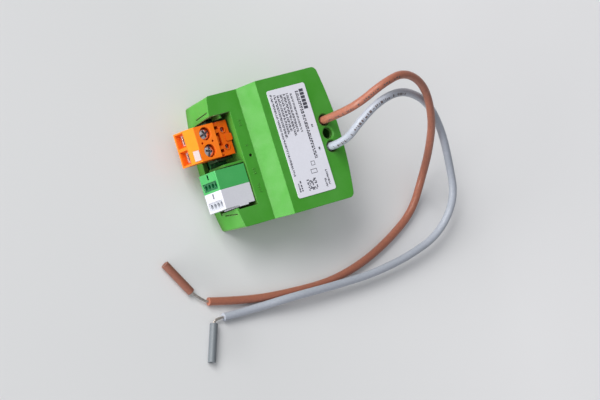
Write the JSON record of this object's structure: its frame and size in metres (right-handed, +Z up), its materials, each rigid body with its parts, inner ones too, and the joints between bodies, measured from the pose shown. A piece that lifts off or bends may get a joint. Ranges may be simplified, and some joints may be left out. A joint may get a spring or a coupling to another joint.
{
  "type": "motor controller",
  "caption": "Small in-wall motor controller: stepped plastic housing, plug-on screw terminal and bus plug, and loose motor leads.",
  "frame": {"origin": "centre of the housing's flat base", "axes": "+Z up, out of the roof with the lead holes; +X from the plugs towards the lead holes; +Y across"},
  "size_m": [0.1038, 0.0745, 0.0419],
  "materials": {
    "housing_green": "fine moulded texture",
    "tray_green": "fine moulded texture",
    "label_white": "printed film",
    "plug_orange": "satin moulded",
    "marker_white": "satin moulded",
    "bus_green": "satin moulded",
    "bus_white": "satin moulded",
    "header_black": "satin moulded",
    "screw_steel": "zinc plated",
    "cage_steel": "nickel plated",
    "contact_tin": "tin plated",
    "pin_tin": "tin plated",
    "lead_brown": "smooth insulation",
    "lead_grey": "smooth insulation",
    "conductor_copper": "tinned stranded copper",
    "solder": "bright solder",
    "board_green": "solder mask",
    "chip_black": "moulded package",
    "capacitor_can": "sleeved can",
    "ferrite": "sintered ferrite",
    "ceramic": "sintered ceramic",
    "clear_plastic": "clear moulded"
  },
  "bodies": {
    "housing": {"top_cover": "housing_green", "base_tray": "tray_green", "main_board": "board_green", "rating_label": "label_white", "light_pipe": "clear_plastic", "status_led": "marker_white", "power_header": "header_black", "power_pins": "pin_tin", "bus_header": "header_black", "bus_pins": "pin_tin", "brown_lead_tail": "lead_brown", "grey_lead_tail": "lead_grey", "lead_solder_joints": "solder", "brown_lead": "lead_brown", "grey_lead": "lead_grey", "brown_conductor": "conductor_copper", "grey_conductor": "conductor_copper", "brown_end_sleeve": "lead_brown", "grey_end_sleeve": "lead_grey", "input_fuse": "ceramic", "surge_diode": "chip_black", "converter_chip": "chip_black", "controller_chip": "chip_black", "bus_transceiver": "chip_black", "crystal": "cage_steel", "bridge_driver": "chip_black", "bulk_capacitor": "capacitor_can", "second_capacitor": "capacitor_can", "storage_choke": "ferrite", "current_shunt": "chip_black", "bridge_transistors": "chip_black", "chip_capacitors": "ceramic", "chip_resistors": "chip_black"},
    "power_plug": {"plug_body": "plug_orange", "plug_marker": "marker_white", "contact_bar_1": "contact_tin", "contact_bar_2": "contact_tin"},
    "screw_1": {"terminal_screw_1": "screw_steel"},
    "screw_2": {"terminal_screw_2": "screw_steel"},
    "cage_1": {"clamp_cage_1": "cage_steel"},
    "cage_2": {"clamp_cage_2": "cage_steel"},
    "bus_plug": {"bus_plug_green": "bus_green", "bus_plug_white": "bus_white", "bus_spring_green": "contact_tin", "bus_spring_white": "contact_tin"}
  },
  "joints": [
    {"name": "power_plug_pull", "type": "slide", "parent": "housing", "child": "power_plug", "axis": [0, 0, 1], "range_m": [0, 0.008]},
    {"name": "bus_plug_pull", "type": "slide", "parent": "housing", "child": "bus_plug", "axis": [-1, 0, 0], "range_m": [0, 0.009]},
    {"name": "screw_1_turn", "type": "hinge", "parent": "power_plug", "child": "screw_1", "pos_m": [-0.0207, 0.00949, 0.0111], "axis": [0, 0, -1], "range_deg": [0, 1081]},
    {"name": "cage_1_lift", "type": "slide", "parent": "power_plug", "child": "cage_1", "axis": [0, 0, 1], "range_m": [0, 0.0015]},
    {"name": "screw_2_turn", "type": "hinge", "parent": "power_plug", "child": "screw_2", "pos_m": [-0.0207, 0.00441, 0.0111], "axis": [0, 0, -1], "range_deg": [0, 1081]},
    {"name": "cage_2_lift", "type": "slide", "parent": "power_plug", "child": "cage_2", "axis": [0, 0, 1], "range_m": [0, 0.0015]}
  ],
  "couplings": [
    {"joint": "screw_1_turn", "follows": "cage_1_lift", "rad_per_m": 12566},
    {"joint": "screw_2_turn", "follows": "cage_2_lift", "rad_per_m": 12566}
  ]
}
